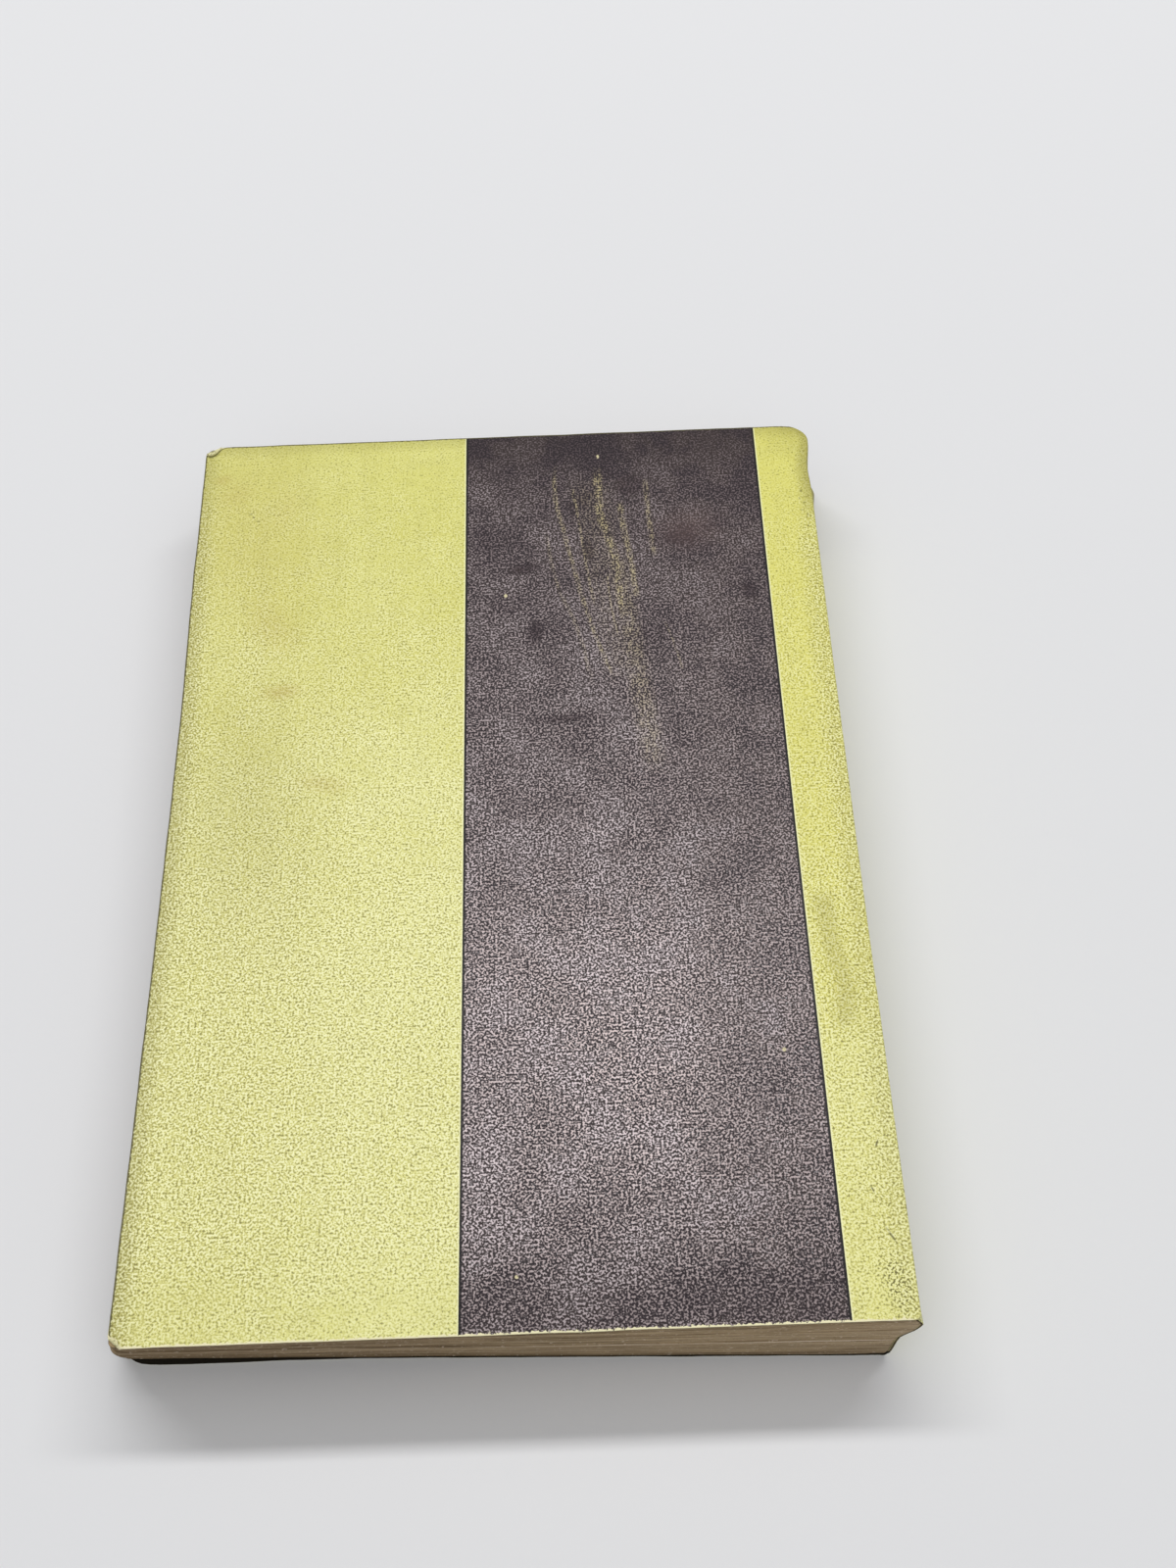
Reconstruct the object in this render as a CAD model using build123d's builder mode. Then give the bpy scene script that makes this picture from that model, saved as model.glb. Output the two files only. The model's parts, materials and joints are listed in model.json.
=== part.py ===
from build123d import *

import os
from math import cos, radians, sin

# A worn pocket paperback, lying on its front cover with the back cover up and the spine at the right.
#
# X runs from the fore edge to the spine, Y from tail to head and Z up. The origin is the middle of the front
# cover's outer face, which the book rests on. Years of reading have twisted the book: each leaf, from the front
# cover up, lies turned a little further about Z than the one below it, so the back cover is out of line with
# the front cover and the spine leans one way at the tail and the other way at the head.

# The trimmed format, in mm: spine fold to fore edge, tail to head, and through both covers
cover_width = 108.0
cover_height = 162.0
book_thickness = 17.5

# The sheets
card_thickness = 0.4
leaf_setback = 0.4  # the leaves' edges stand back this far from the covers' at head, tail and fore edge

# The twist, from the front cover's outer face to the back cover's
twist_angle = 1.75  # degrees, counterclockwise seen from above
lean_to_spine = -0.75  # how far the back cover's middle lies towards the spine side
lean_to_head = -2.35  # and towards the head
spine_hollow = 0.6  # how far the middle leaves have slid towards the fore edge

# Wear at the corners, seen from above
worn_corner_radius = 1.0
bumped_corner_radius = 4.5  # the back cover's corner at the head of the spine, knocked round
worn_edge_radius = 0.2  # the covers' outer edges and folds, rubbed soft

# How far a cutting outline reaches past what it cuts
cut_margin = 10.0


def leaf_plane(height):
    """The plane of the sheet at this height, centred on it and turned with it."""
    share = height / book_thickness
    slide = 4 * spine_hollow * share * (1 - share)
    turn = radians(share * twist_angle)
    return Plane(
        origin=(share * lean_to_spine - slide, share * lean_to_head, height),
        x_dir=(cos(turn), sin(turn), 0),
        z_dir=(0, 0, 1),
    )


def trimmed_sheet(height, setback=0.0):
    """Draws one sheet's trimmed outline in the open sketch, set back from the covers' edges but not at the spine."""
    with Locations((setback / 2, 0)):
        Rectangle(cover_width - setback, cover_height - 2 * setback)
    bump = worn_corner_radius + (bumped_corner_radius - worn_corner_radius) * height / book_thickness
    head_of_spine = vertices().sort_by(Axis.X)[-2:].sort_by(Axis.Y)[-1]
    others = vertices() - ShapeList([head_of_spine])
    fillet(head_of_spine, bump)
    fillet(others, worn_corner_radius)


def inside_of_spine():
    """Draws, in the open sketch, everything on the fore edge's side of the spine card's inner face."""
    with Locations((-card_thickness - cut_margin / 2, 0)):
        Rectangle(cover_width + cut_margin, cover_height + 2 * cut_margin)


# The sheets that the twisted solids pass through, from the front cover's outer face to the back cover's
sheet_heights = (0, book_thickness / 2, book_thickness)
leaves_bottom = card_thickness
leaves_top = book_thickness - card_thickness

# The block of leaves: the trimmed stack, up to the inner face of the card at its back and between the covers
with BuildPart() as text_block:
    for height in sheet_heights:
        with BuildSketch(leaf_plane(height)):
            trimmed_sheet(height, leaf_setback)
    loft()
    for height in sheet_heights:
        with BuildSketch(leaf_plane(height)):
            inside_of_spine()
    loft(mode=Mode.INTERSECT)
    split(bisect_by=Plane.XY.offset(leaves_bottom), keep=Keep.TOP)
    split(bisect_by=Plane.XY.offset(leaves_top), keep=Keep.BOTTOM)

# The strip of card glued to the back of the leaves: what is left of the same stack outside its inner face
with BuildPart() as cover_spine:
    for height in sheet_heights:
        with BuildSketch(leaf_plane(height)):
            trimmed_sheet(height)
    loft()
    for height in sheet_heights:
        with BuildSketch(leaf_plane(height)):
            inside_of_spine()
    loft(mode=Mode.SUBTRACT)
    split(bisect_by=Plane.XY.offset(leaves_bottom), keep=Keep.TOP)
    split(bisect_by=Plane.XY.offset(leaves_top), keep=Keep.BOTTOM)

# The two covers turn about the outer corners of their folds, which are the spine edges of these outlines
with BuildPart() as front_cover:
    with BuildSketch(leaf_plane(0)):
        trimmed_sheet(0)
    extrude(amount=card_thickness)
    fillet(faces().sort_by(Axis.Z)[0].edges(), worn_edge_radius)

with BuildPart() as back_cover:
    with BuildSketch(leaf_plane(book_thickness)):
        trimmed_sheet(book_thickness)
    extrude(amount=-card_thickness)
    fillet(faces().sort_by(Axis.Z)[-1].edges(), worn_edge_radius)

back_fold = leaf_plane(book_thickness)
fold_middle = back_fold.from_local_coords((cover_width / 2, 0, 0))
print("front cover turns about", (cover_width / 2, 0, 0), "along Y")
print("back cover turns about", fold_middle, "along", back_fold.y_dir)

text_block.part.label = "text_block"
cover_spine.part.label = "cover_spine"
front_cover.part.label = "front_cover"
back_cover.part.label = "back_cover"

os.makedirs("parts", exist_ok=True)
export_step(text_block.part, "parts/text_block.step")
export_step(cover_spine.part, "parts/cover_spine.step")
export_step(front_cover.part, "parts/front_cover.step")
export_step(back_cover.part, "parts/back_cover.step")
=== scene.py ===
# %% [markdown]
# # A worn pocket paperback
#
# The part is a small paperback lying on its front cover. The frame holds four plain solids: a block of leaves, a
# strip of card at their back and two covers that turn about their folds. This script dresses that frame, and its
# sizes are read from it where they can be.

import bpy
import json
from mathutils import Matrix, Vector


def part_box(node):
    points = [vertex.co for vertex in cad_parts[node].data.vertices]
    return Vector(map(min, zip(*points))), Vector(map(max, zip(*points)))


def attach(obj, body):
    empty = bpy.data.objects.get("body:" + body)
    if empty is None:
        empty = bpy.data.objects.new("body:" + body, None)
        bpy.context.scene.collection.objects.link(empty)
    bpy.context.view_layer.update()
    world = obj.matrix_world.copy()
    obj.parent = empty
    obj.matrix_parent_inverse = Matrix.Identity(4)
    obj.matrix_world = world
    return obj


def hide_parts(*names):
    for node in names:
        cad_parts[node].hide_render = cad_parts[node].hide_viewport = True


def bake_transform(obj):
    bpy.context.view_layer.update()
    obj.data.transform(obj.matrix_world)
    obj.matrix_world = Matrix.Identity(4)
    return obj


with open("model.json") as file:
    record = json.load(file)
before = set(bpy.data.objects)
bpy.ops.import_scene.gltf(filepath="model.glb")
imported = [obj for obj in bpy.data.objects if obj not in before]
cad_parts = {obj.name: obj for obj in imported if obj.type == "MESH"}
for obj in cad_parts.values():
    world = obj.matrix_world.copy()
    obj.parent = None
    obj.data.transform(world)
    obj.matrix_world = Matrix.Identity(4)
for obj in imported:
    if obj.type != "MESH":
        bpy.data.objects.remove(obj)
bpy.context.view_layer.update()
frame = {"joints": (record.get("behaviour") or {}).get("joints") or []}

# %% Import the tools
import json
from itertools import accumulate
from math import atan2, cos, exp, hypot, pi, radians, sin, sqrt
from random import Random

import bmesh
import bpy
from mathutils import Matrix, Vector, noise

# %% [markdown]
# ## Sizes from the frame
#
# Reading has twisted the book, so the back cover lies turned and moved against the front cover. The place and
# direction of the upper fold, a hinge in the frame, say how far. Lengths are metres, and `mm` turns millimetres
# into metres.

# %% Measure the book
mm = 0.001
front_low, front_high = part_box("front_cover")
book_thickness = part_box("back_cover")[1].z
cover_width = front_high.x - front_low.x
cover_height = front_high.y - front_low.y
card_thickness = front_high.z - front_low.z
half_width, half_height = cover_width / 2, cover_height / 2

folds = {joint["name"]: joint for joint in frame["joints"]}
back_fold = folds["back_cover_fold"]
twist = atan2(-back_fold["axis"][0], back_fold["axis"][1])
lean_to_spine = back_fold["pos_m"][0] - half_width * cos(twist)
lean_to_head = back_fold["pos_m"][1] - half_width * sin(twist)
spine_hollow = 0.6 * mm
print("cover", cover_width, "by", cover_height, "book", book_thickness, "thick, twisted", twist)

# %% [markdown]
# ## What handling did to the shape
#
# Each sheet is shaped flat and straight, and placed in the twisted stack at the end. Handling comes first. It
# wavered the upper edges, spread the stack at three of its corners, dented the upper cover by a few hundredths of
# a millimetre, and curled the leaves up from the lower cover at the tail of the fore edge. One function does this
# for the card and for the leaves, so that they keep touching everywhere else.

# %% Press, dent and lift a point
dimple_place, dimple_reach = 71.8 * mm, 3.2 * mm
dimple_depth = 0.42  # millimetres
table_hold = 0.1  # the lower cover follows only this share of the leaves' curl
hair = 0.01 * mm


def smooth_step(low, high, value):
    """Rises gently from 0 at low to 1 at high."""
    share = min(1.0, max(0.0, (value - low) / (high - low)))
    return share * share * (3 - 2 * share)


def fade(distance, reach):
    """Falls gently from 1 at no distance to 0 at reach."""
    return 1 - smooth_step(0, reach, distance)


def dented(x, y):
    """Hollows and swellings of the upper cover, upwards where above 0."""
    wide = noise.noise(Vector((x / (31 * mm), y / (37 * mm), 2)))
    small = noise.noise(Vector((x / (9 * mm), y / (12 * mm), 6)))
    return (0.10 * wide + 0.04 * small) * mm


def curled_up(across):
    """How far the tail edge of the leaves has curled up here, which is most towards the fore edge."""
    return 1.3 * mm * (1 - smooth_step(-34 * mm, 12 * mm, across))


def pushed_across(across, along, height):
    """How far, in millimetres, handling pushed this point towards the spine."""
    share = height / book_thickness
    from_fore, from_spine = half_width + across, half_width - across
    from_tail, from_head = half_height + along, half_height - along

    # The upper edges waver, and the spine has a dimple just short of its head
    waver = 0.30 * max(0.0, -along / half_height) - 0.12 * max(0.0, along / half_height)
    hollow = exp(-(((along - dimple_place) / dimple_reach) ** 2))
    dimple = dimple_depth * (smooth_step(68 * mm, 77 * mm, along) - hollow)
    at_spine = (waver * fade(from_spine, 30 * mm) + dimple * fade(from_spine, 7 * mm)) * share**2
    at_fore = 0.4 * smooth_step(22 * mm, 48 * mm, along) * share * fade(from_fore, 40 * mm)

    # The stack has spread at both ends of the spine and at the tail of the fore edge
    foot = 0.6 * fade(from_tail, 5 * mm) * fade(height, 2.2 * mm) * fade(from_spine, 4 * mm)
    belly = smooth_step(6 * mm, 12 * mm, height) * (1 - smooth_step(13 * mm, 16.8 * mm, height))
    belly *= 1.65 * fade(from_tail, 14 * mm) * fade(from_spine, 15 * mm)
    heel = 0.3 * fade(from_head, 4.5 * mm) * fade(height, 5 * mm) * fade(from_spine, 6 * mm)
    toe = 1.3 * fade(from_tail, 30 * mm) * fade(from_fore, 40 * mm)
    toe *= 1 - smooth_step(3 * mm, book_thickness, height)
    return at_spine - at_fore - foot + belly + heel - toe


def handled(across, along, height):
    """A point of the straight, flat book, after handling."""
    share = height / book_thickness
    from_spine = half_width - across
    from_tail, from_head = half_height + along, half_height - along
    pressed = pushed_across(across, along, height) * mm

    down = 0.55 * mm * share**3 * fade(hypot(from_spine, from_head), 5.5 * mm)
    near_top = smooth_step(book_thickness - 5 * mm, book_thickness, height)
    dent = dented(across, along) * near_top if near_top > 0 else 0.0
    lift = curled_up(across) * fade(from_tail, 32 * mm) * (1 - share)
    if height <= card_thickness + hair:
        lift *= table_hold
    return across + pressed, along, height + dent - down + lift


print("the lowest leaf is lifted by", handled(-half_width, -half_height, 0.45 * mm)[2] - 0.45 * mm)

# %% [markdown]
# ## Where a point of the book lies
#
# This function takes a handled point to its real place. Every sheet is turned and moved in proportion to its
# height. On top of the twist the book has a slight bow, with both ends of the upper cover higher than its middle.
# Not quite half-way up, the stack has broken and slipped a little.

# %% Place a point in the stack
bow_rise = 1.2 * mm
bow_middle = 0.42
break_height = 7.1 * mm
break_slip = Vector((-0.25 * mm, -0.55 * mm, 0))
sharp_slip, gentle_slip = 0.45, 0.55  # the shares of it at the break itself and in the leaves below


def in_the_stack(across, along, height):
    """The place of a point that is this far across, along and up in the straight, flat book."""
    slipped = sharp_slip * (1 - smooth_step(break_height - 0.05 * mm, break_height + 0.05 * mm, height))
    slipped += gentle_slip * (1 - smooth_step(break_height - 3 * mm, break_height, height))
    across, along, height = handled(across, along, height)
    share = height / book_thickness
    slide = 4 * spine_hollow * share * (1 - share)
    turn = share * twist
    bow = bow_rise * share * ((along / half_height) ** 2 - bow_middle)
    x = share * lean_to_spine - slide + across * cos(turn) - along * sin(turn)
    y = share * lean_to_head + across * sin(turn) + along * cos(turn)
    return Vector((x, y, height + bow)) + break_slip * slipped


print("upper corner at the tail of the spine", in_the_stack(half_width, -half_height, book_thickness))

# %% [markdown]
# ## Ruled lines
#
# A sheet needs many points where it bends sharply or where its edge is worn, and few in its flat middle. So a
# grid is made with even lines, and its lines are then moved to places that lie close together at both ends. That
# keeps clean rows and columns of four-sided faces all over the sheet.

# %% Cut a sheet


def ruled_lines(low, high, finest, widest, growth=1.3):
    """Places from low to high, finest apart at both ends and widest apart at most."""
    steps, step, half = [], finest, (high - low) / 2
    while sum(steps) < half:
        steps.append(step)
        step = min(step * growth, widest)
    shrink = half / sum(steps)
    steps = [step * shrink for step in steps]
    return [low + reach for reach in accumulate([0.0, *steps, *reversed(steps)])]


def cut_sheet(columns, rows):
    """A flat grid with its lines at these places."""
    sheet = bmesh.new()
    bmesh.ops.create_grid(sheet, x_segments=len(columns) - 1, y_segments=len(rows) - 1, size=1)
    for vertex in sheet.verts:
        column = round((vertex.co.x + 1) / 2 * (len(columns) - 1))
        row = round((vertex.co.y + 1) / 2 * (len(rows) - 1))
        vertex.co = (columns[column], rows[row], 0)
    return sheet


print("ten, ruled:", [round(place, 1) for place in ruled_lines(0, 10, 0.5, 3)])

# %% [markdown]
# ## The card, cut flat
#
# The cover of a paperback is one sheet of card, creased twice and wrapped round the leaves. Two pieces stand for
# it here. The back one runs from the fore edge over the upper fold and down the spine, and the front one from the
# fore edge over the lower fold, to meet it just above. Each is a grid that is extruded to the card's thickness
# and has its rim bevelled, because reading rubs a cut edge round.

# %% Give the card its thickness
fold_radius = 0.5 * mm
fold_arc = fold_radius * pi / 2
fold_steps = 8
seam_height = 1.6 * mm
rim_bevel = 0.09 * mm
finest_step, widest_step = 0.15 * mm, 2.2 * mm


def columns_of_card(spine_reach):
    """Places of the card's columns from the fore edge, over the fold, to spine_reach down the spine."""
    panel = ruled_lines(-half_width, half_width - fold_radius, finest_step, widest_step)
    arc = [half_width - fold_radius + fold_arc * step / fold_steps for step in range(1, fold_steps + 1)]
    straight = ruled_lines(0, spine_reach - fold_radius, 0.16 * mm, 1.1 * mm)
    return panel + arc + [arc[-1] + reach for reach in straight[1:]]


rows = ruled_lines(-half_height, half_height, finest_step, widest_step)


def thick_card(columns):
    """A closed sheet of card with its printed face at height 0 and a rounded rim, but square at the seam."""
    card = cut_sheet(columns, rows)
    lower = bmesh.ops.extrude_face_region(card, geom=card.faces[:])["geom"]
    lower = [v for v in lower if isinstance(v, bmesh.types.BMVert)]
    bmesh.ops.translate(card, vec=(0, 0, -card_thickness), verts=lower)
    bmesh.ops.recalc_face_normals(card, faces=card.faces[:])
    rim = [
        edge
        for edge in card.edges
        if len(edge.link_faces) == 2
        and edge.calc_face_angle() > 1
        and any(abs(face.normal.z) > 0.9 for face in edge.link_faces)
        and min(vertex.co.x for vertex in edge.verts) < columns[-1] - hair
    ]
    shape = {"offset": rim_bevel, "offset_type": "OFFSET", "affect": "EDGES", "segments": 2, "profile": 0.5}
    bmesh.ops.bevel(card, geom=rim, material=-1, **shape)
    return card


back_columns = columns_of_card(book_thickness - seam_height)
front_columns = columns_of_card(seam_height)
back_card = thick_card(back_columns)
front_card = thick_card(front_columns)
print(len(rows), "rows; back card", len(back_card.faces), "faces, front card", len(front_card.faces))

# %% [markdown]
# The print and the wear have to stay on the card when a cover is opened. So each vertex remembers its place on
# the flat sheet, in millimetres: across, along, and its height, which is below 0 under the printed face. The
# materials read that memory, and not the place in the room.

# %% Remember the flat sheet


def remember_flat(sheet):
    """Stores each vertex's place on the flat sheet, in millimetres."""
    memory = sheet.verts.layers.float_vector.new("flat")
    for vertex in sheet.verts:
        vertex[memory] = vertex.co / mm


remember_flat(back_card)
remember_flat(front_card)

# %% [markdown]
# ## Wear that changes the outline
#
# Its outer corners are rubbed round: each ring of points in a square corner is pressed to an arc. Its cut edges
# are nibbled by a few hundredths of a millimetre. And the two corners at the fore edge have curled: a curl winds
# the tip of the card about a small roll.

# %% Round and nibble the card


def round_corner(x, y, corner_x, corner_y, radius):
    """Moves a point in the square corner at (corner_x, corner_y) into a round one."""
    side_x, side_y = (1 if corner_x > 0 else -1), (1 if corner_y > 0 else -1)
    out_x = (x - corner_x) * side_x + radius
    out_y = (y - corner_y) * side_y + radius
    if out_x <= 0 or out_y <= 0:
        return x, y
    pull = max(out_x, out_y) / hypot(out_x, out_y)
    return corner_x + side_x * (out_x * pull - radius), corner_y + side_y * (out_y * pull - radius)


nibble_reach = 1.2 * mm


def nibbled(x, y, seed):
    """Moves a point near the cut edges of the sheet a little inwards, unevenly along the edge."""
    for axis in (0, 1):
        place, along = (x, y) if axis == 0 else (y, x)
        limit = half_width if axis == 0 else half_height
        if axis == 0 and place > 0:
            continue  # there the card goes on over the fold
        near = max(0.0, 1 - (limit - abs(place)) / nibble_reach)
        coarse = noise.noise(Vector((along / (7 * mm), seed + axis, place / limit)))
        fine = noise.noise(Vector((along / (0.9 * mm), seed + axis, 5 + place / limit)))
        bite = (0.06 + 0.07 * coarse + 0.05 * fine) * mm * near
        moved = place - bite * (1 if place > 0 else -1)
        x, y = (moved, y) if axis == 0 else (x, moved)
    return x, y


def curled(point, crease, direction, roll, most):
    """Winds what lies beyond the crease about a roll above the printed face, by up to `most` radians."""
    normal = Vector((-direction[1], direction[0], 0)).normalized()
    beyond = (point - crease).dot(normal)
    if beyond <= 0:
        return point
    depth = -point.z
    middle = roll + card_thickness / 2
    angle = min(beyond / middle, most)
    flap = beyond - angle * middle
    out = (roll + depth) * sin(angle) + flap * cos(angle)
    up = roll - (roll + depth) * cos(angle) + flap * sin(angle)
    return point - normal * beyond + normal * out + Vector((0, 0, up - point.z))


curls = (
    # crease, direction with the tip on its left, roll, most
    (Vector((-54.0 * mm, 78.8 * mm, 0)), (0.88, 0.475), 0.05 * mm, 2.95),
    (Vector((-54.0 * mm, -78.75 * mm, 0)), (-0.72, 0.69), 0.13 * mm, 2.7),
)


def crumpled(x, y, corner_y):
    """A small step in any direction for a point near a crumpled corner of the fore edge."""
    near = fade(hypot(x + half_width, y - corner_y), 2.6 * mm)
    place = Vector((x, y, corner_y)) / (0.75 * mm)
    return noise.noise_vector(place) * (0.15 * mm * near)


def wear_back_card(card):
    for vertex in card.verts:
        x, y, z = vertex.co
        crumple = crumpled(x, y, half_height) * 0.6 + crumpled(x, y, -half_height)
        x, y = nibbled(x, y, 3)
        x, y = round_corner(x, y, -half_width, half_height, 1.2 * mm)
        x, y = round_corner(x, y, -half_width, -half_height, 0.9 * mm)
        worn = Vector((x, y, z))
        for crease, direction, roll, most in curls:
            worn = curled(worn, crease, direction, roll, most)
        vertex.co = worn + crumple


def wear_front_card(card):
    """The lower cover sticks out from under the leaves near its tail corner, which is worn away."""
    for vertex in card.verts:
        x, y, z = vertex.co
        x, y = nibbled(x, y, 17)
        x, y = round_corner(x, y, -half_width, half_height, 1.6 * mm)
        x, y = round_corner(x, y, -half_width, -half_height, 4.6 * mm)
        recess = 0.2 * mm - 0.75 * mm * (1 - smooth_step(-50 * mm, -18 * mm, x))
        vertex.co = (x, y + recess * fade(y + half_height, 12 * mm), z)


wear_back_card(back_card)
wear_front_card(front_card)

# %% [markdown]
# ## Folding the card round the leaves
#
# A creased card turns over a small radius at each fold. The flat sheet beyond the crease first runs round that
# arc and then down the spine. At the head of the spine the corner was knocked round: all that stood in it was
# pushed in until it followed an arc, wider at the upper cover than at the lower one.

# %% Fold the card
worn_corner = 0.8 * mm
tail_corner = 0.3 * mm
worn_tail_corner = 1.0 * mm
knocked_corner = 3.1 * mm
knock_spread = 2.4  # how many radii the push reaches in from the spine
spine_ripple = 0.06 * mm
strip_shortfall = 0.32 * mm


def knocked_radius(height):
    """The radius of the corner at the head of the spine, at this height."""
    return worn_corner + (knocked_corner - worn_corner) * height / book_thickness


def round_the_fold(x, z):
    """(across, height) of a point of the back card: x along the flat sheet, z from the printed face."""
    along_arc = x - (half_width - fold_radius)
    depth = -z
    if along_arc <= 0:
        return x, book_thickness - depth
    if along_arc < fold_arc:
        angle = along_arc / fold_radius
        inside = fold_radius - depth
        across, up = inside * sin(angle), inside * cos(angle)
        return half_width - fold_radius + across, book_thickness - fold_radius + up
    return half_width - depth, book_thickness - fold_radius - (along_arc - fold_arc)


def knocked_in(across, along, height):
    """How far the spine was pushed in here, at its head and a little at its tail."""
    from_spine = half_width - across
    push = 0.0
    at_top = smooth_step(book_thickness - 5 * mm, book_thickness - 1.2 * mm, height)
    tail_radius = tail_corner + (worn_tail_corner - tail_corner) * at_top
    ends = ((half_height - along, knocked_radius(height)), (half_height + along, tail_radius))
    for from_end, radius in ends:
        if from_end < radius and from_spine < knock_spread * radius:
            inward = radius - sqrt(max(0.0, radius**2 - (radius - from_end) ** 2))
            push += inward * fade(from_spine, knock_spread * radius)
    return push


def fold_back_card(card):
    """Folds the card, with the strip on the spine a little shorter at the tail than the cover above it."""
    for vertex in card.verts:
        x, y, z = vertex.co
        across, height = round_the_fold(x, z)
        if x > half_width:
            across += spine_ripple * noise.noise(Vector((height / (3 * mm), y / (30 * mm), 8)))
        on_spine = smooth_step(half_width - fold_radius, half_width + 0.9 * mm, x)
        y += strip_shortfall * on_spine * fade(half_height + y, 6 * mm)
        vertex.co = in_the_stack(across - knocked_in(across, y, height), y, height)


def fold_front_card(card):
    for vertex in card.verts:
        x, y, z = vertex.co
        across, height = round_the_fold(x, z)
        height = book_thickness - height
        vertex.co = in_the_stack(across - knocked_in(across, y, height), y, height)


fold_back_card(back_card)
fold_front_card(front_card)

# %% [markdown]
# A finished bmesh becomes an object whose origin is the frame's. Folding the front card upwards has mirrored it,
# so the normals are worked out again.

# %% Make the card's objects


def finished_piece(name, shape, sharp=0.7):
    """An object from a bmesh, smooth but for edges that turn by more than `sharp` radians."""
    bmesh.ops.recalc_face_normals(shape, faces=shape.faces[:])
    for face in shape.faces:
        face.smooth = True
    for edge in shape.edges:
        edge.smooth = not (len(edge.link_faces) == 2 and edge.calc_face_angle() > sharp)
    mesh = bpy.data.meshes.new(name)
    shape.to_mesh(mesh)
    shape.free()
    piece = bpy.data.objects.new(name, mesh)
    bpy.context.scene.collection.objects.link(piece)
    print(name, len(mesh.polygons), "faces")
    return piece


back_cover_card = finished_piece("back_cover_card", back_card)
front_cover_card = finished_piece("front_cover_card", front_card)

# %% [markdown]
# ## The leaves
#
# About 160 leaves of cheap paper make a block this thick. Only the first and the last page can be seen, so the
# block is one closed shell: a grid for each of those two, and between them a wall that is drawn up leaf by leaf
# from the outline of the lower page. Each leaf's edge gets two rings of points, one in its middle and one in the
# crack above it, and every leaf stands a little differently from its neighbours. Some cracks are deeper.

# %% Draw the leaves up
leaf_count = 160
end_setback = 0.35 * mm
fore_setback = 0.22 * mm
cover_gap = 0.03 * mm
leaves_low = card_thickness + cover_gap
leaves_high = book_thickness - card_thickness - cover_gap
crack_depth = 0.03 * mm
open_crack_count = 9
shift_across, shift_along = 0.03, 0.035  # millimetres, as standard deviations
chance = Random(41)

leaf_tops = list(accumulate(chance.uniform(0.7, 1.3) for _ in range(leaf_count)))
leaf_tops = [leaves_low + (leaves_high - leaves_low) * top / leaf_tops[-1] for top in leaf_tops]
open_cracks = {
    chance.randrange(6, leaf_count - 6): chance.uniform(0.12, 0.3) * mm for _ in range(open_crack_count)
}
leaf_shift = [
    Vector((chance.gauss(0, shift_across), chance.gauss(0, shift_along))) * mm for _ in range(leaf_count + 1)
]

page_steps = (0.25 * mm, 3.2 * mm, 1.5)
page_columns = ruled_lines(-half_width, half_width, *page_steps)
page_rows = ruled_lines(-half_height, half_height, *page_steps)
leaves = cut_sheet(page_columns, page_rows)
bottom_page = leaves.faces[:]
outline = [edge for edge in leaves.edges if edge.is_boundary]
top_page = bmesh.ops.duplicate(leaves, geom=bottom_page)["geom"]
top_page_vertices = [v for v in top_page if isinstance(v, bmesh.types.BMVert)]
bmesh.ops.translate(leaves, vec=(0, 0, 2 * leaf_count), verts=top_page_vertices)
print("outline of a leaf", len(outline), "points")

# %% [markdown]
# While the wall grows, the height of a point only counts rings, two to a leaf. The real height, the setback and
# the small shifts come from that count at the end.

# %% Raise the wall and weld it
ring = outline
for _ in range(2 * leaf_count):
    grown = bmesh.ops.extrude_edge_only(leaves, edges=ring)["geom"]
    ring = [edge for edge in grown if isinstance(edge, bmesh.types.BMEdge)]
    lifted = {vertex for edge in ring for vertex in edge.verts}
    ring = [edge for edge in ring if all(vertex in lifted for vertex in edge.verts)]
    bmesh.ops.translate(leaves, vec=(0, 0, 1), verts=list(lifted))
bmesh.ops.remove_doubles(leaves, verts=leaves.verts[:], dist=hair)
print("block", len(leaves.faces), "faces, open edges", sum(edge.is_boundary for edge in leaves.edges))

# %% Shape each leaf
on_leaf = leaves.faces.layers.float.new("leaf_tone")
on_page = leaves.faces.layers.float.new("page_face")
flat_place = leaves.verts.layers.float_vector.new("flat")
tones = [chance.random() for _ in range(leaf_count)]
page_tone, ledge_tone = 0.5, 2.0  # the ledge is the lit edge of the leaves just below the break
break_leaf = sum(top < break_height for top in leaf_tops)

for face in leaves.faces:
    count = face.calc_center_median().z
    is_page = abs(face.normal.z) > 0.5
    face[on_page] = 1.0 if is_page else 0.0
    face[on_leaf] = page_tone if is_page else tones[min(leaf_count - 1, int(count / 2))]
    if abs(count / 2 - break_leaf) < 0.3:
        face[on_leaf] = ledge_tone
print("the stack is broken above leaf", break_leaf)


def leaf_height(count):
    """The height of a ring: even counts lie in the cracks, odd ones in the middle of a leaf."""
    below = leaf_tops[count // 2 - 1] if count >= 2 else leaves_low
    if count % 2 == 0:
        return below
    return (below + leaf_tops[count // 2]) / 2


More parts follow.
